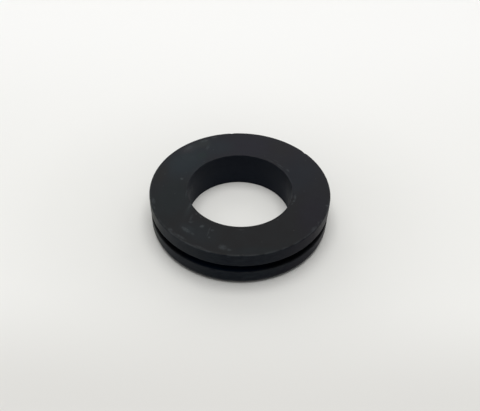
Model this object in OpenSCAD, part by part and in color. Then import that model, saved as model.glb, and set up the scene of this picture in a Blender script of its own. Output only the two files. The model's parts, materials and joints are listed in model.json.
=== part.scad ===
// Panel grommet: a moulded rubber ring with a plain bore. A flange at each end and the groove
// between them hold it in a round hole cut in a thin panel. It stands on its lower flange, with
// the origin in the middle of its underside and the bore along Z.

/* [Upper flange] */
// Diameter of the upper flange
upper_flange_d = 38; // [33:0.2:60]
// Thickness of the upper flange
upper_flange_t = 3; // [1.6:0.1:8]
// How far the upper face dips from its rim down to the bore
face_dish = 0.25; // [0.1:0.05:1]

/* [Lower flange] */
// Diameter of the lower flange, moulded a little smaller than the upper one
lower_flange_d = 37.9; // [33:0.1:60]
// Thickness of the lower flange
lower_flange_t = 3.45; // [2.4:0.05:10]

/* [Panel groove] */
// Width of the groove, which takes the panel's thickness
groove_w = 1.9; // [0.8:0.1:6]
// Diameter at the bottom of the groove, which fills the panel's hole
groove_root_d = 30; // [25:0.2:32]

/* [Bore] */
// Diameter of the bore that the cable or pipe passes through
bore_d = 22; // [6:0.1:27]

/* [Edge roundings] */
// Radius of the upper flange's top rim
top_rim_r = 0.3; // [0.1:0.05:1]
// Radius of the lower flange's bottom rim
base_rim_r = 1.3; // [0.2:0.1:1.8]
// Radius of the bore's lip, the same at both ends
bore_lip_r = 0.1; // [0.05:0.05:0.5]
// Radius of the two edges at the mouth of the groove
groove_mouth_r = 0.15; // [0.05:0.05:0.5]
// Radius of the two corners at the bottom of the groove
groove_root_r = 0.25; // [0.05:0.05:0.35]

/* [Hidden] */

// Heights of the faces above the underside
groove_floor_z = lower_flange_t;
groove_roof_z = groove_floor_z + groove_w;
height = groove_roof_z + upper_flange_t;

bore_r = bore_d / 2;
groove_root_radius = groove_root_d / 2;
upper_flange_r = upper_flange_d / 2;
lower_flange_r = lower_flange_d / 2;

rubber_black = "#26282b";
turn_facets = 180;
edge_facets = 48;

// What lies between a square corner and a quarter circle of radius r that rounds it. The corner
// is at [x, y], and toward = [±1, ±1] points from it to the centre of the circle.
module corner_sliver(x, y, r, toward) {
    translate([x, y])
        mirror([toward.x < 0 ? 1 : 0, 0])
            mirror([0, toward.y < 0 ? 1 : 0])
                difference() {
                    square(r);
                    translate([r, r])
                        circle(r, $fn = edge_facets);
                }
}

// A ring's section between two radii and two heights
module slab(r_in, r_out, z_low, z_high) {
    translate([r_in, z_low])
        square([r_out - r_in, z_high - z_low]);
}

// What lies above the dished upper face, which slopes from the top rim down to the bore's lip
module dish_section() {
    polygon([
        [bore_r, height],
        [bore_r, height - face_dish],
        [bore_r + bore_lip_r, height - face_dish],
        [upper_flange_r - top_rim_r, height],
    ]);
}

// The upper flange: dished, and rounded at the bore's lip, at the top rim and at the mouth of the
// groove
module upper_flange_section() {
    difference() {
        slab(bore_r, upper_flange_r, groove_roof_z, height);
        dish_section();
        corner_sliver(bore_r, height - face_dish, bore_lip_r, [1, -1]);
        corner_sliver(upper_flange_r, height, top_rim_r, [-1, -1]);
        corner_sliver(upper_flange_r, groove_roof_z, groove_mouth_r, [-1, 1]);
    }
}

// The lower flange: rounded at the bore's lip, at the bottom rim and at the mouth of the groove
module lower_flange_section() {
    difference() {
        slab(bore_r, lower_flange_r, 0, groove_floor_z);
        corner_sliver(bore_r, 0, bore_lip_r, [1, 1]);
        corner_sliver(lower_flange_r, 0, base_rim_r, [-1, 1]);
        corner_sliver(lower_flange_r, groove_floor_z, groove_mouth_r, [-1, -1]);
    }
}

// The sleeve that joins the flanges, with the filled corners at the bottom of the groove
module sleeve_section() {
    slab(bore_r, groove_root_radius, groove_floor_z, groove_roof_z);
    corner_sliver(groove_root_radius, groove_floor_z, groove_root_r, [1, 1]);
    corner_sliver(groove_root_radius, groove_roof_z, groove_root_r, [1, -1]);
}

module grommet() {
    color(rubber_black)
        rotate_extrude($fn = turn_facets)
            union() {
                upper_flange_section();
                lower_flange_section();
                sleeve_section();
            }
}

grommet();
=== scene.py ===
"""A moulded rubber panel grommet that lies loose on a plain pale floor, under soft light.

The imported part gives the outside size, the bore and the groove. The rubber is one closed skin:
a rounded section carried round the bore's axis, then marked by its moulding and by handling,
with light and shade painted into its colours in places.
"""
import json
import math

import bpy
import numpy as np
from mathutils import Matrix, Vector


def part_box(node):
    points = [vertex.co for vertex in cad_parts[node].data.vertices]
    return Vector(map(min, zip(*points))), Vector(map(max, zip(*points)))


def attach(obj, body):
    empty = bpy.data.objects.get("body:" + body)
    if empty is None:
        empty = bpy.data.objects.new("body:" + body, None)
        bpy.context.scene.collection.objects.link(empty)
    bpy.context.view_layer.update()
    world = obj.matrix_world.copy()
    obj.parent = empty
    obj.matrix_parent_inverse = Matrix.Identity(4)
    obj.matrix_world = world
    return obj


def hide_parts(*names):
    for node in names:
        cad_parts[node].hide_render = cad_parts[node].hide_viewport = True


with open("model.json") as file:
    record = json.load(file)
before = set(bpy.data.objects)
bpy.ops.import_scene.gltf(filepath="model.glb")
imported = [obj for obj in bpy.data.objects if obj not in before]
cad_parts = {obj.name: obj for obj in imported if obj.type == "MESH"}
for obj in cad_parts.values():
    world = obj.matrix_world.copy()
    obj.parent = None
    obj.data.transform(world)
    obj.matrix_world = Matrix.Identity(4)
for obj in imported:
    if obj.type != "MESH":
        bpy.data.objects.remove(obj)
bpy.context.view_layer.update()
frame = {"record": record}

MM = 0.001

# Sizes that the frame states
part_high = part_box("grommet")[1]
mounts = {mount["name"]: mount for mount in frame["record"]["mounts"]}
HEIGHT = part_high.z
UPPER_FLANGE_R = part_high.x
BORE_R = mounts["bore"]["dims"]["r_mm"] * MM
BORE_LENGTH = mounts["bore"]["dims"]["length_mm"] * MM
BORE_MIDDLE_Z = mounts["bore"]["pos_m"][2]
BORE_LIP_R = BORE_MIDDLE_Z - BORE_LENGTH / 2
FACE_DISH = HEIGHT - BORE_LIP_R - (BORE_MIDDLE_Z + BORE_LENGTH / 2)
GROOVE_ROOT_R = mounts["panel_groove"]["dims"]["r_mm"] * MM
GROOVE_W = mounts["panel_groove"]["dims"]["length_mm"] * MM
GROOVE_MIDDLE_Z = mounts["panel_groove"]["pos_m"][2]

# Sizes that only the part's shape holds
LOWER_FLANGE_R = UPPER_FLANGE_R - 0.05 * MM
TOP_RIM_R = 0.3 * MM
BASE_RIM_R = 1.3 * MM
GROOVE_MOUTH_R = 0.15 * MM
GROOVE_CORNER_R = 0.25 * MM

# How finely the skin is divided
ROUND_STEPS = 512
STRAIGHT_STEP = 0.42 * MM
ARC_STEP = 0.06 * MM
FEWEST_ON_ARC = 4
FEWEST_ON_STRAIGHT = 2

# How far the moulded skin may lie inside its true section
SWELL = 0.03 * MM
RIPPLE = 0.008 * MM
SHORTEST_WAVE = 6 * MM


# ------------------------------------------------------------------ shape

def rounded_section(corners):
    """The closed outline of a section, given counterclockwise, with every corner rounded.

    A corner is (r, z, radius). Between its two sides, which turn by the angle `turn`, lies an arc
    that starts radius * tan(|turn| / 2) before the corner. With `out` the outward normal of the
    first side and `way` its direction, the normal on the arc is out * cos t + way * sin t, for t
    from zero to `turn`, and the arc's point is its centre plus or minus radius * that normal. The
    straight from one arc to the next is divided by (1 - cos t) / 2, which is finest beside the
    arcs. Returns the points (r, z) and their outward normals.
    """
    corners = np.asarray(corners, float)
    place = corners[:, :2]
    radius = corners[:, 2]
    side = np.roll(place, -1, axis=0) - place
    way_out = side / np.linalg.norm(side, axis=1, keepdims=True)
    way_in = np.roll(way_out, 1, axis=0)
    out_in = np.stack([way_in[:, 1], -way_in[:, 0]], axis=1)
    turn = np.arctan2(way_in[:, 0] * way_out[:, 1] - way_in[:, 1] * way_out[:, 0],
                      (way_in * way_out).sum(axis=1))
    setback = radius * np.tan(np.abs(turn) / 2)
    points = []
    normals = []
    for i in range(len(corners)):
        after = (i + 1) % len(corners)
        arc_steps = max(FEWEST_ON_ARC, math.ceil(radius[i] * abs(turn[i]) / ARC_STEP))
        t = np.linspace(0, turn[i], arc_steps + 1)[:, None]
        spoke = out_in[i] * np.cos(t) + way_in[i] * np.sin(t)
        bulge = np.sign(turn[i]) * radius[i]
        centre = place[i] - setback[i] * way_in[i] - bulge * out_in[i]
        points.append(centre + bulge * spoke)
        normals.append(spoke)
        start = place[i] + setback[i] * way_out[i]
        end = place[after] - setback[after] * way_out[i]
        length = np.linalg.norm(end - start)
        straight_steps = max(FEWEST_ON_STRAIGHT, math.ceil(length / STRAIGHT_STEP))
        t = np.arange(1, straight_steps)[:, None] * math.pi / straight_steps
        points.append(start + (end - start) * (1 - np.cos(t)) / 2)
        normals.append(np.repeat([[way_out[i, 1], -way_out[i, 0]]], straight_steps - 1, axis=0))
    return np.concatenate(points), np.concatenate(normals)


def nearness(points, places, reach):
    """One at the places given, falling as exp(-(distance / reach) squared) away from them."""
    gap = np.linalg.norm(points[..., None, :] - np.asarray(places, float), axis=-1)
    return np.exp(-(gap.min(axis=-1) / reach) ** 2)


def waves(angle, along, count, lowest, highest, seed):
    """A smooth random field round the ring, between -1 and 1.

    It is a sum of cosines of k * angle + 2 pi * m * along + phase, each 1 / k high, over the sum
    of all 1 / k. Each k is a whole number from lowest to highest, so that the field closes round
    the ring, and 1 / m is never shorter than the shortest wave.
    """
    rng = np.random.default_rng(seed)
    k = rng.integers(lowest, highest + 1, count)
    m = rng.uniform(-1, 1, count) / SHORTEST_WAVE
    phase = rng.uniform(0, 2 * math.pi, count)
    field = np.cos(angle[..., None] * k + along[..., None] * m * 2 * math.pi + phase) / k
    return field.sum(axis=-1) / (1 / k).sum()


# Dents and nicks in the rubber: angle round the bore in degrees, radius and height in mm, then
# how wide and how deep each one is in mm
NICKS = [
    (-166, 18.9, 8.4, 0.50, 0.12),
    (-160, 18.8, 8.5, 0.30, 0.08),
    (-14, 18.9, 8.45, 0.35, 0.10),
    (-139, 18.6, 8.5, 0.30, 0.08),
    (41, 18.9, 8.4, 0.45, 0.12),
    (97, 18.9, 8.4, 0.35, 0.10),
    (-62, 18.8, 2.4, 0.60, 0.10),
    (-8, 11.2, 8.4, 0.45, 0.10),
    (-17, 11.1, 8.1, 0.35, 0.08),
]


def relief(angle, along, place):
    """How far the skin stands off the true section at each point: zero or less, so inside it.

    A slow swell and a finer ripple lie between zero and their full depths, and each nick takes
    off depth * exp(-(distance / width) squared).
    """
    swell = SWELL * (waves(angle, along, 14, 2, 9, seed=3) - 1) / 2
    ripple = RIPPLE * (waves(angle, along, 24, 12, 40, seed=8) - 1) / 2
    dents = np.zeros_like(angle)
    for turn, radius, height, width, depth in NICKS:
        a = math.radians(turn)
        middle = np.array([radius * math.cos(a), radius * math.sin(a), height]) * MM
        gap = np.linalg.norm(place - middle, axis=-1)
        dents += depth * MM * np.exp(-(gap / (width * MM)) ** 2)
    return swell + ripple - dents


def ring_skin(name, points, normals, attributes):
    """A closed skin: the section carried round Z.

    The vertex on section point i at angle a is (r cos a, r sin a, z), where (r, z) is the point
    moved along its normal by the relief there. attributes gives each section point's values.
    """
    angle = np.arange(ROUND_STEPS) * 2 * math.pi / ROUND_STEPS
    step = np.linalg.norm(np.roll(points, -1, axis=0) - points, axis=1)
    along = np.concatenate([[0], np.cumsum(step)[:-1]])
    around, beside = np.meshgrid(angle, along)
    turn = np.stack([np.cos(around), np.sin(around), np.ones_like(around)], axis=-1)
    place = points[:, [0, 0, 1]][:, None, :] * turn
    lift = relief(around, beside, place)
    place = place + normals[:, [0, 0, 1]][:, None, :] * turn * lift[..., None]

    count = len(points)
    i, j = np.meshgrid(np.arange(count), np.arange(ROUND_STEPS), indexing="ij")
    i_next = (i + 1) % count
    j_next = (j + 1) % ROUND_STEPS
    quads = np.stack([i * ROUND_STEPS + j, i * ROUND_STEPS + j_next,
                      i_next * ROUND_STEPS + j_next, i_next * ROUND_STEPS + j], axis=-1)

    mesh = bpy.data.meshes.new(name)
    mesh.from_pydata(place.reshape(-1, 3), [], quads.reshape(-1, 4).tolist())
    mesh.shade_smooth()
    for label, values in attributes.items():
        field = mesh.attributes.new(label, "FLOAT", "POINT")
        field.data.foreach_set("value", np.repeat(values, ROUND_STEPS).astype(np.float32))
    ring = bpy.data.objects.new(name, mesh)
    bpy.context.scene.collection.objects.link(ring)
    return ring


def make_grommet():
    """The rubber ring, marked where its rims are rubbed and painted with highlight, and where
    painted shade lies in the groove.

    Rubbing and highlight are marked as a strength, a reach and the edges they spread from. The
    groove's painted shade grows from zero at its mouth to one at a small depth.
    """
    groove_floor = GROOVE_MIDDLE_Z - GROOVE_W / 2
    groove_roof = GROOVE_MIDDLE_Z + GROOVE_W / 2
    points, normals = rounded_section([
        (BORE_R, 0, BORE_LIP_R),
        (LOWER_FLANGE_R, 0, BASE_RIM_R),
        (LOWER_FLANGE_R, groove_floor, GROOVE_MOUTH_R),
        (GROOVE_ROOT_R, groove_floor, GROOVE_CORNER_R),
        (GROOVE_ROOT_R, groove_roof, GROOVE_CORNER_R),
        (UPPER_FLANGE_R, groove_roof, GROOVE_MOUTH_R),
        (UPPER_FLANGE_R, HEIGHT, TOP_RIM_R),
        (BORE_R, HEIGHT - FACE_DISH, BORE_LIP_R),
    ])
    # Rubbing along the rims, which also paints the rims' highlights and the groove mouths' sheen
    wear = [
        (1.0, 0.2 * MM, [(UPPER_FLANGE_R - 0.1 * MM, HEIGHT)]),
        (0.35, 0.25 * MM, [(UPPER_FLANGE_R, groove_roof), (LOWER_FLANGE_R, groove_floor)]),
        (0.5, 0.16 * MM, [(BORE_R, HEIGHT - FACE_DISH)]),
    ]
    edge_margin = 0.1 * MM
    bore_margin = 1 * MM
    shade_depth = 0.5 * MM
    r, z = points.T
    # Painted shade in the groove, rising from its mouth inward
    depth = np.clip((LOWER_FLANGE_R - r) / shade_depth, 0, 1)
    between = (z > groove_floor - edge_margin) & (z < groove_roof + edge_margin)
    in_groove = between & (r > BORE_R + bore_margin)
    return ring_skin("grommet_rubber", points, normals, {
        "rim": np.maximum.reduce([strength * nearness(points, edges, reach)
                                  for strength, reach, edges in wear]),
        "groove_shade": depth * in_groove,
    })


# ------------------------------------------------------------------ materials

class Value:
    """A shader socket that takes part in Python arithmetic: each operator adds its Math node."""

    def __init__(self, graph, socket):
        self.graph = graph
        self.socket = socket

    def math(self, operation, other):
        return self.graph.node("ShaderNodeMath", {"operation": operation}, [self, other])

    def __add__(self, other):
        return self.math("ADD", other)

    def __sub__(self, other):
        return self.math("SUBTRACT", other)

    def __mul__(self, other):
        return self.math("MULTIPLY", other)

    def __rsub__(self, other):
        return self.graph.node("ShaderNodeMath", {"operation": "SUBTRACT"}, [other, self])

    __radd__ = __add__
    __rmul__ = __mul__

    def at_most(self, other):
        """The lesser of the two at each point."""
        return self.math("MINIMUM", other)

    def at_least(self, other):
        """The greater of the two at each point."""
        return self.math("MAXIMUM", other)


class Graph:
    """The nodes of one material or of the world."""

    def __init__(self, owner):
        owner.use_nodes = True
        self.tree = owner.node_tree
        self.tree.nodes.clear()

    def node(self, kind, settings=None, sockets=(), output=0):
        """Adds a node: its settings first, then the values or links of its sockets, which are a
        list in socket order or a dict by name or number."""
        made = self.tree.nodes.new(kind)
        for setting, value in (settings or {}).items():
            setattr(made, setting, value)
        pairs = sockets.items() if isinstance(sockets, dict) else enumerate(sockets)
        for key, value in pairs:
            if isinstance(value, Value):
                self.tree.links.new(value.socket, made.inputs[key])
            else:
                made.inputs[key].default_value = value
        return Value(self, made.outputs[output]) if made.outputs else None

    def smooth(self, value, low, high):
        """Zero below low, one above high, and a smooth step between; high may be the lower."""
        return self.node("ShaderNodeMapRange", {"interpolation_type": "SMOOTHSTEP"},
                         {"Value": value, "From Min": low, "From Max": high})

    def noise(self, place, size, detail=2.0, roughness=0.5):
        """Noise between 0 and 1 whose lumps are about size across."""
        return self.node("ShaderNodeTexNoise", {}, {
            "Vector": place, "Scale": 1 / size, "Detail": detail, "Roughness": roughness})

    def part(self, vector, axis):
        """A vector's part along X, Y or Z."""
        return self.node("ShaderNodeSeparateXYZ", {}, [vector], output=axis)

    def length(self, vector):
        """A vector's length."""
        return self.node("ShaderNodeVectorMath", {"operation": "LENGTH"}, [vector],
                         output="Value")

    def stretch(self, vector, by):
        """A vector, with each of its parts multiplied by that of by."""
        return self.node("ShaderNodeVectorMath", {"operation": "MULTIPLY"}, [vector, by])

    def seen(self):
        """One for what the camera sees, straight or in gloss or glass, and zero for mere light."""
        seen = self.node("ShaderNodeLightPath", output="Is Camera Ray")
        seen = seen.at_least(self.node("ShaderNodeLightPath", output="Is Glossy Ray"))
        return seen.at_least(self.node("ShaderNodeLightPath", output="Is Transmission Ray"))

    def mix(self, share, first, second):
        """The first colour, turning into the second as share goes from 0 to 1."""
        return self.node("ShaderNodeMix", {"data_type": "RGBA"},
                         {0: share, 6: first, 7: second}, output=2)


# Rubbed marks on the upper face; along the bore's right lip they are partly painted highlight:
# place, length and width in mm, direction in degrees, and strength
SCUFFS_AND_LIP_HIGHLIGHTS = [
    (-12.5, 2.6, 1.0, 0.9, 0, 0.95),
    (-11.2, -1.8, 3.2, 0.5, 86, 0.40),
    (-10.2, -5.6, 3.4, 0.8, 72, 0.45),
    (-9.6, -9.0, 3.0, 0.7, 78, 0.35),
    (-9.5, -10.2, 1.3, 0.9, 20, 0.55),
    (-7.3, -11.3, 1.5, 1.1, 30, 0.75),
    (-10.4, -12.4, 3.2, 1.2, -42, 0.80),
    (-9.0, -13.5, 1.2, 0.7, -40, 0.60),
    (-11.4, -14.3, 4.4, 0.8, -36, 0.60),
    (-13.4, -12.6, 1.8, 1.0, -50, 0.60),
    (-7.4, -16.9, 3.4, 0.5, -24, 0.55),
    (-5.9, -12.7, 3.8, 0.5, 78, 0.45),
    (-5.2, -12.3, 1.0, 0.8, 10, 0.55),
    (-5.7, -14.3, 0.9, 0.8, 60, 0.50),
    (-3.0, -16.8, 2.4, 1.9, -20, 0.60),
    (-1.8, -17.4, 1.8, 0.8, -15, 0.50),
    (0.4, -11.9, 2.4, 0.5, 4, 0.45),
    (-17.7, -4.6, 2.6, 1.0, 104, 0.70),
    (-17.3, -6.6, 1.6, 0.6, 106, 0.50),
    (17.9, -4.6, 1.0, 0.8, 0, 0.80),
    (14.8, -11.2, 2.4, 1.0, 50, 0.50),
    (15.8, -9.6, 1.4, 0.6, 60, 0.40),
    (6.6, 9.4, 3.0, 0.4, -35, 0.40),
    (8.6, 7.9, 3.0, 0.5, -47, 0.60),
    (7.8, 9.4, 2.6, 0.4, -41, 0.35),
    (10.3, 6.3, 1.4, 0.7, -60, 0.80),
    (11.5, -2.1, 2.4, 0.6, 84, 0.80),
    (11.2, -3.3, 0.9, 0.6, 30, 0.85),
    (10.8, -4.2, 0.9, 0.5, 60, 0.60),
    (7.7, -8.8, 0.8, 0.5, 40, 0.50),
    (-8.7, -7.9, 0.8, 0.5, -50, 0.60),
    (-7.7, -8.7, 0.8, 0.5, -50, 0.60),
    (-8.4, 15.6, 2.8, 1.0, 28, 0.70),
    (-6.2, 17.0, 1.8, 0.8, 20, 0.65),
    (-11.8, 12.9, 3.0, 1.4, 46, 0.70),
    (-7.6, 13.2, 2.4, 1.0, 75, 0.45),
]

# Painted highlights: upright pale streaks on the bore's wall, where it catches the room's light at
# a
# grazing angle: angle round the bore in degrees, height, length and width in mm, and strength
BORE_STREAK_HIGHLIGHTS = [
    (12.5, 3.0, 5.0, 1.5, 1.05),
    (4.5, 5.4, 2.6, 0.5, 0.60),
    (18.0, 4.0, 5.0, 2.4, 0.45),
    (169.0, 4.8, 4.4, 1.0, 0.55),
    (162.0, 4.4, 4.0, 1.2, 0.40),
]

# Wide soft patches of painted reflection on the upper face, where it reflects the room's uneven
# light: place, length and width in mm, direction in degrees, share and colour
REFLECTION_CASTS = [
    (-14.0, -3.0, 22.0, 12.0, 80, 0.75, (0.0108, 0.0142, 0.0156, 1)),
    (1.5, 14.0, 15.0, 11.0, 0, 0.50, (0.0165, 0.0154, 0.0232, 1)),
    (12.5, 4.5, 17.0, 12.0, 75, 0.70, (0.0122, 0.0140, 0.0190, 1)),
    (15.0, -7.0, 20.0, 10.0, 80, 0.65, (0.0122, 0.0110, 0.0162, 1)),
    (9.0, 14.0, 9.0, 7.0, -40, 0.50, (0.0165, 0.0155, 0.0160, 1)),
    (-8.0, -13.0, 12.0, 8.0, -35, 0.60, (0.0125, 0.0155, 0.0180, 1)),
    (3.0, -17.5, 14.0, 3.5, 4, 0.60, (0.0110, 0.0135, 0.0150, 1)),
    (-11.8, 8.0, 17.0, 11.0, 56, 0.90, (0.0150, 0.0206, 0.0250, 1)),
    (-5.2, 13.4, 11.0, 8.0, 25, 0.75, (0.0156, 0.0196, 0.0242, 1)),
    (-11.7, 12.8, 7.0, 3.6, 46, 0.85, (0.0290, 0.0278, 0.0320, 1)),
    (-8.8, 14.6, 5.0, 3.4, 40, 0.75, (0.0250, 0.0256, 0.0246, 1)),
    (-8.6, 10.6, 4.0, 3.0, 60, 0.50, (0.0146, 0.0232, 0.0216, 1)),
    (-17.0, 4.0, 9.0, 4.0, 78, 0.50, (0.0160, 0.0158, 0.0150, 1)),
]

# Where the bore's wall stays deepest in tone, below its lip: angle in degrees, then height, length
# and width in mm
SHADED_LIP = (17, 7.3, 4.0, 11.0)

# The stretch of the top rim that is rubbed most and carries the strongest painted highlight:
# place, length and width in mm, and direction in degrees
WORN_HIGHLIT_RIM = (-9.6, -15.9, 17.0, 8.0, -31)

# Where the upper face has gone greyer still: place, length and width in mm, direction in degrees,
# and strength
BLOOMS = [
    (-12.0, 10.4, 16.0, 8.0, 50, 0.45),
    (-12.9, 9.0, 5.0, 3.0, 75, 0.55),
    (-9.6, 14.4, 12.0, 4.0, 34, 0.70),
    (-7.4, 14.0, 4.0, 2.4, 80, 0.60),
    (-10.2, -12.2, 5.0, 3.0, -40, 0.55),
    (-10.1, -6.0, 10.0, 2.0, 76, 0.45),
]

# The rubber's colours. The cool blue tint of the walls and the bore is painted shade; the left
# wall's grey is painted light, the right wall's depth painted shade and the paleness at both
# ends painted sheen. The face's back colour is painted light, the rubbed colour also paints
# highlights, and the groove's two colours are painted shade.
WALL_DEEP = (0.0016, 0.0036, 0.0086, 1)
WALL_SOFT = (0.0112, 0.0150, 0.0198, 1)
WALL_LEFT_LIT = (0.0122, 0.0155, 0.0196, 1)
WALL_LEFT_END_SHEEN = (0.0500, 0.0552, 0.0490, 1)
WALL_RIGHT_SHADED = (0.0044, 0.0026, 0.0080, 1)
WALL_RIGHT_END_SHEEN = (0.0410, 0.0386, 0.0430, 1)
BORE_WALL = (0.0064, 0.0094, 0.0172, 1)
FACE_FRONT = (0.0114, 0.0114, 0.0122, 1)
FACE_BACK_LIT = (0.0152, 0.0150, 0.0186, 1)
BLOOMED = (0.0215, 0.0270, 0.0300, 1)
RUBBED_AND_HIGHLIGHT = (0.043, 0.048, 0.051, 1)
DUSTY = (0.10, 0.10, 0.10, 1)
GROOVE_FRONT_SHADE = (0.0003, 0.0065, 0.0190, 1)
GROOVE_BLACK_SHADE = (0.0010, 0.0014, 0.0030, 1)

# How thick the soft patches are, in mm, square to the surface they mark
SCUFF_AND_HIGHLIGHT_THICK = 3.2
PATCH_THICK = 6.0
HIGHLIGHT_STREAK_THICK = 1.0

# The size in mm of what each pattern of the rubber is made of
CLOUD = 2.6
GRAIN = 0.16
PIT = 0.5
MOTTLE = 1.8
BREAKUP = 0.35
STREAK = 1.4
WEAR = 1.3
DUST = 0.9

# The relief of the moulded grain, and how little the matt rubber shines
GRAIN_RELIEF = 0.012 * MM
SHEEN = 0.065


class RubberField:
    """The places and patterns that the rubber's colours and finish follow, all in mm.

    across runs from left to right, depth from front to back, and radius out from the bore's axis.
    """

    def __init__(self, graph):
        self.graph = graph
        place = graph.node("ShaderNodeTexCoord", output="Object")
        self.place = graph.stretch(place, (1 / MM, 1 / MM, 1 / MM))
        self.across = graph.part(self.place, "X")
        self.depth = graph.part(self.place, "Y")
        self.radius = graph.length(graph.stretch(self.place, (1, 1, 0)))

    def cloud(self, size, low, high, detail=4, roughness=0.6, stretch=None):
        """Soft noise with lumps of that size, which runs from zero at low to one at high."""
        place = self.graph.stretch(self.place, stretch) if stretch else self.place
        return self.graph.smooth(self.graph.noise(place, size, detail, roughness), low, high)

    def patch(self, middle, sizes, turn, core):
        """A soft ellipsoid: one up to the share core of its size, and zero from its edge on."""
        local = self.graph.node("ShaderNodeMapping", {"vector_type": "TEXTURE"}, {
            "Vector": self.place, "Location": middle, "Rotation": (0, 0, math.radians(turn)),
            "Scale": [size / 2 for size in sizes]})
        return self.graph.smooth(self.graph.length(local), 1.0, core)

    def on_face(self, x, y, length, width, turn, core=0.0, thick=PATCH_THICK):
        """A patch on the upper face."""
        return self.patch((x, y, HEIGHT / MM), (length, width, thick), turn, core)

    def on_bore(self, turn, height, length, width, thick=HIGHLIGHT_STREAK_THICK):
        """An upright patch on the bore's wall."""
        a = math.radians(turn)
        middle = (BORE_R / MM * math.cos(a), BORE_R / MM * math.sin(a), height)
        return self.patch(middle, (thick, width, length), turn, 0.1)

    def dust(self):
        """Small round specks, in the few cells of a cell pattern whose lot is high."""
        cell = {"Vector": self.place, "Scale": 1 / DUST}
        spread = self.graph.node("ShaderNodeTexVoronoi", {}, cell, output="Distance")
        lot = self.graph.part(
            self.graph.node("ShaderNodeTexVoronoi", {}, cell, output="Color"), "X")
        return self.graph.smooth(spread, 0.16, 0.08) * self.graph.smooth(lot, 0.88, 0.92)


def strongest(patches):
    """The strongest at each point of a list of patches and their strengths."""
    whole = None
    for patch, strength in patches:
        patch = patch * strength
        whole = patch if whole is None else whole.at_least(patch)
    return whole


def wall_colour(graph, field, streaks):
    """The outer walls and the bore: streaked and deep in front, painted light to the left, painted
    shade to the right and painted sheen at both ends. The bore's wall has one colour of its own,
    with painted shade below its lip."""
    across = field.across
    # Painted light to the left, painted shade to the right and painted sheen at both ends of the
    # walls
    left = graph.smooth(across, -3, -10) * (0.65 + 0.35 * streaks)
    wall = graph.mix(streaks, WALL_DEEP, WALL_SOFT)
    wall = graph.mix(left, wall, WALL_LEFT_LIT)
    wall = graph.mix(0.8 * graph.smooth(across, -14.5, -18.5), wall, WALL_LEFT_END_SHEEN)
    wall = graph.mix(0.7 * graph.smooth(across, 4, 14), wall, WALL_RIGHT_SHADED)
    wall = graph.mix(0.8 * graph.smooth(across, 14.5, 18.5), wall, WALL_RIGHT_END_SHEEN)
    wall = graph.mix(0.8 * graph.smooth(field.radius, 12, 11.5), wall, BORE_WALL)
    shaded = field.on_bore(*SHADED_LIP, thick=PATCH_THICK)
    return graph.mix(0.9 * shaded, wall, WALL_DEEP)


def face_colour(graph, field, clouds):
    """The upper face: painted lighter to the back, where more light falls, with patches of painted
    reflection and a faint cloudy bloom.
    """
    # Painted light: the face turns lighter to the back, where more light falls
    back = graph.smooth(field.depth, -11, 15)
    face = graph.mix(back, FACE_FRONT, FACE_BACK_LIT)
    # Patches of painted reflection of the room's uneven light
    for *shape, share, painted_reflection in REFLECTION_CASTS:
        face = graph.mix(share * field.on_face(*shape, core=0.2), face, painted_reflection)
    return graph.mix(0.12 * clouds, face, BLOOMED)


def worn_rims(graph, field, upward):
    """Where the rims are rubbed and painted with highlight: unevenly, most on the handled stretch,
    and on the walls' side more at both ends, where it paints their sheen."""
    rim = graph.node("ShaderNodeAttribute", {"attribute_name": "rim"}, output="Fac")
    # Strongest painted highlight and rubbing on the front-left stretch
    handled = field.on_face(*WORN_HIGHLIT_RIM, core=0.3)
    uneven = field.cloud(WEAR, 0.35, 0.65, detail=3, roughness=0.5)
    # Painted sheen on the walls' side at both ends
    left_end = graph.smooth(field.across, -13, -17)
    right_end = graph.smooth(field.across, 13, 17)
    ends = left_end.at_least(right_end) * (1 - upward)
    return rim * (uneven + 0.8 * handled + 0.6 * ends).at_most(1.5)


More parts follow.
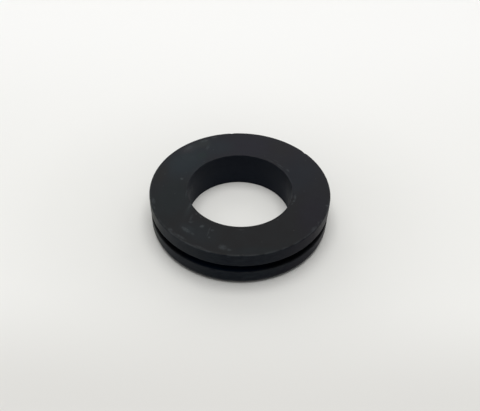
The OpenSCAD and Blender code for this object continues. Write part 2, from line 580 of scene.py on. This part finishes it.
def paint_rubber():
    """Matt black rubber: a near-black on the walls whose cool tint is painted shade, greyer on the
    upper face with a soft bloom and patches of painted reflection, a fine moulded grain, paler
    worn rims with painted highlights, dry dust in specks, rubbed marks, painted highlight
    streaks in the bore, and painted shade in the groove as the blackest part."""
    material = bpy.data.materials.new("black_rubber")
    graph = Graph(material)
    field = RubberField(graph)
    normal = graph.node("ShaderNodeNewGeometry", output="Normal")
    upward = graph.smooth(graph.part(normal, "Z"), 0.45, 0.85)
    groove_shade = graph.node("ShaderNodeAttribute", {"attribute_name": "groove_shade"}, output="Fac")

    clouds = field.cloud(CLOUD, 0.28, 0.74)
    streaks = field.cloud(STREAK, 0.32, 0.68, roughness=0.65, stretch=(1, 1, 5))
    mottle = field.cloud(MOTTLE, 0.36, 0.64, detail=3)
    breakup = field.cloud(BREAKUP, 0.36, 0.58, detail=2, roughness=0.5)
    # Rubbed marks, partly painted highlight along the bore's right lip
    scuffs_and_lip_highlights = [(field.on_face(*shape, core=0.25, thick=SCUFF_AND_HIGHLIGHT_THICK), strength)
              for *shape, strength in SCUFFS_AND_LIP_HIGHLIGHTS]
    # Painted highlights streaking the bore's wall
    bore_highlights = [(field.on_bore(*shape), strength) for *shape, strength in BORE_STREAK_HIGHLIGHTS]
    marks = strongest(scuffs_and_lip_highlights + bore_highlights) * (0.4 + 0.6 * breakup)
    bloom = strongest([(field.on_face(*shape), strength) for *shape, strength in BLOOMS])
    bloom = bloom * (0.4 + 0.6 * mottle)
    worn = worn_rims(graph, field, upward)

    wall = wall_colour(graph, field, streaks)
    colour = graph.mix(upward, wall, face_colour(graph, field, clouds))
    colour = graph.mix(bloom * upward, colour, BLOOMED)
    # Rubbed rims with painted highlights
    colour = graph.mix(0.6 * worn, colour, RUBBED_AND_HIGHLIGHT)
    # Rubbed marks and painted highlights
    colour = graph.mix(0.9 * marks, colour, RUBBED_AND_HIGHLIGHT)
    colour = graph.mix(0.22 * field.dust() * upward, colour, DUSTY)
    # Painted shade in the groove: bluer in front, blackest elsewhere
    in_front = graph.smooth(field.across, -13, -7) * graph.smooth(field.across, 8, 1)
    groove = graph.mix(in_front, GROOVE_BLACK_SHADE, GROOVE_FRONT_SHADE)
    colour = graph.mix(0.9 * groove_shade, colour, groove)

    grain = graph.noise(field.place, GRAIN, detail=2, roughness=0.6)
    pits = graph.noise(field.place, PIT, detail=3, roughness=0.55)
    roughness = 0.42 + 0.05 * clouds + 0.05 * streaks + 0.06 * grain - 0.04 * worn
    bump = graph.node("ShaderNodeBump", {}, {
        "Strength": 0.35, "Distance": GRAIN_RELIEF, "Height": 0.6 * grain + 0.8 * pits})
    shader = graph.node("ShaderNodeBsdfPrincipled", {}, {
        "Base Color": colour, "Roughness": roughness, "Normal": bump, "IOR": 1.5,
        "Specular IOR Level": SHEEN})
    graph.node("ShaderNodeOutputMaterial", {}, [shader])
    return material


# The floor's colours: the two of its clouds, in painted shade near the part, then the plain
# floor further out, painted light at the back and a painted shadow pooled in front, and the
# paleness of the room beyond it
FLOOR_SHADED_LOW = (0.765, 0.763, 0.735, 1)
FLOOR_SHADED_HIGH = (0.785, 0.782, 0.755, 1)
FLOOR_OPEN = (0.87, 0.867, 0.84, 1)
FLOOR_BACK_LIT = (0.93, 0.927, 0.91, 1)
FLOOR_FRONT_SHADOW = (0.738, 0.73, 0.702, 1)
PALE_ROOM = (0.8, 0.8, 0.79, 1)


def paint_floor():
    """A plain pale sheet: faintly clouded, with painted shade round the part, a painted shadow in
    a soft pool in front of it, and painted light at the back. Far from the part it turns into the
    room's own paleness, so that it has no visible end."""
    material = bpy.data.materials.new("pale_floor")
    graph = Graph(material)
    place = graph.node("ShaderNodeTexCoord", output="Object")
    clouds = graph.smooth(graph.noise(place, 0.03, detail=3, roughness=0.6), 0.25, 0.75)
    reach = graph.length(place)
    depth = graph.part(place, "Y")
    # Painted shadow pooled in front, painted shade round the part and painted light at the back
    front = graph.smooth(depth, -0.02, -0.046) * graph.smooth(reach, 0.13, 0.05)
    colour = graph.mix(clouds, FLOOR_SHADED_LOW, FLOOR_SHADED_HIGH)
    colour = graph.mix(graph.smooth(reach, 0.014, 0.06), colour, FLOOR_OPEN)
    colour = graph.mix(graph.smooth(depth, 0.0, 0.09), colour, FLOOR_BACK_LIT)
    colour = graph.mix(front, colour, FLOOR_FRONT_SHADOW)
    sheet = graph.node("ShaderNodeBsdfPrincipled", {}, {
        "Base Color": colour, "Roughness": 0.75, "Specular IOR Level": 0.1})
    room = graph.node("ShaderNodeEmission", {}, [PALE_ROOM, 1.0])
    far = graph.smooth(reach, 0.15, 0.6) * graph.seen()
    graph.node("ShaderNodeOutputMaterial", {}, [
        graph.node("ShaderNodeMixShader", {}, {0: far, 1: sheet, 2: room})])
    return material


# ------------------------------------------------------------------ studio

# Each lamp's name, place, size and power
LAMPS = [
    ("overhead", (0, 0.02, 0.9), 0.65, 5.3),
    ("back_left", (-0.37, 0.64, 0.52), 0.5, 1.0),
    ("back_right", (0.37, 0.64, 0.52), 0.5, 0.6),
]
DOME_TOP = (0.58, 0.58, 0.58, 1)


def make_floor():
    """A wide square floor at the height the part rests on."""
    half = 3.0
    mesh = bpy.data.meshes.new("floor")
    mesh.from_pydata([(-half, -half, 0), (half, -half, 0), (half, half, 0), (-half, half, 0)],
                     [], [(0, 1, 2, 3)])
    floor = bpy.data.objects.new("floor", mesh)
    floor.data.materials.append(paint_floor())
    bpy.context.scene.collection.objects.link(floor)


def axes_towards(direction, roll):
    """The right, up and back axes of a camera or lamp that looks in a direction, turned by roll
    radians about it."""
    right = np.cross(direction, [0, 0, 1])
    right /= np.linalg.norm(right)
    up = np.cross(right, direction)
    turned_right = right * math.cos(roll) + up * math.sin(roll)
    turned_up = up * math.cos(roll) - right * math.sin(roll)
    return turned_right, turned_up, -np.asarray(direction)


def aim(thing, place, direction, roll=0.0):
    """Puts a camera or lamp at a place, looking in a direction."""
    right, up, back = axes_towards(direction, roll)
    pose = np.eye(4)
    pose[:3, 0] = right
    pose[:3, 1] = up
    pose[:3, 2] = back
    pose[:3, 3] = place
    thing.matrix_world = pose.T.tolist()
    bpy.context.scene.collection.objects.link(thing)


def make_camera():
    """A close camera that looks down at 44 degrees, aimed a little below the upper face."""
    elevation = math.radians(44.22)
    roll = math.radians(1.59)
    distance = 128.1 * MM
    drop = 3.71 * MM
    forward = np.array([0, math.cos(elevation), -math.sin(elevation)])
    upward = np.array([0, math.sin(elevation), math.cos(elevation)])
    aside = 0.08 * MM
    target = np.array([aside, 0, HEIGHT]) - drop * upward
    camera = bpy.data.objects.new("camera", bpy.data.cameras.new("camera"))
    camera.data.sensor_width = 36
    camera.data.lens = 45.67
    camera.data.clip_start = 0.005
    aim(camera, target - distance * forward, forward, roll)
    bpy.context.scene.camera = camera


def make_lamp(name, place, size, power):
    """A soft square lamp that faces the part."""
    light = bpy.data.lights.new(name, "AREA")
    light.size = size
    light.energy = power
    place = np.array(place, float)
    aim(bpy.data.objects.new(name, light), place, -place / np.linalg.norm(place))


def light_room():
    """A dome that is brightest overhead, a broad lamp nearly above and two lower ones behind.

    What is seen of the room, straight or by reflection, is as pale as the floor.
    """
    world = bpy.data.worlds.new("room")
    bpy.context.scene.world = world
    graph = Graph(world)
    way = graph.node("ShaderNodeTexCoord", output="Generated")
    dome = graph.mix(graph.smooth(graph.part(way, "Z"), 0.3, 0.95), (0, 0, 0, 1), DOME_TOP)
    colour = graph.mix(graph.seen(), dome, PALE_ROOM)
    background = graph.node("ShaderNodeBackground", {}, [colour, 1.0])
    graph.node("ShaderNodeOutputWorld", {}, [background])
    for lamp in LAMPS:
        make_lamp(*lamp)


grommet = make_grommet()
grommet.data.materials.append(paint_rubber())
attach(grommet, "root")
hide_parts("grommet")

make_floor()
light_room()
make_camera()
bpy.context.scene.view_settings.view_transform = "Standard"
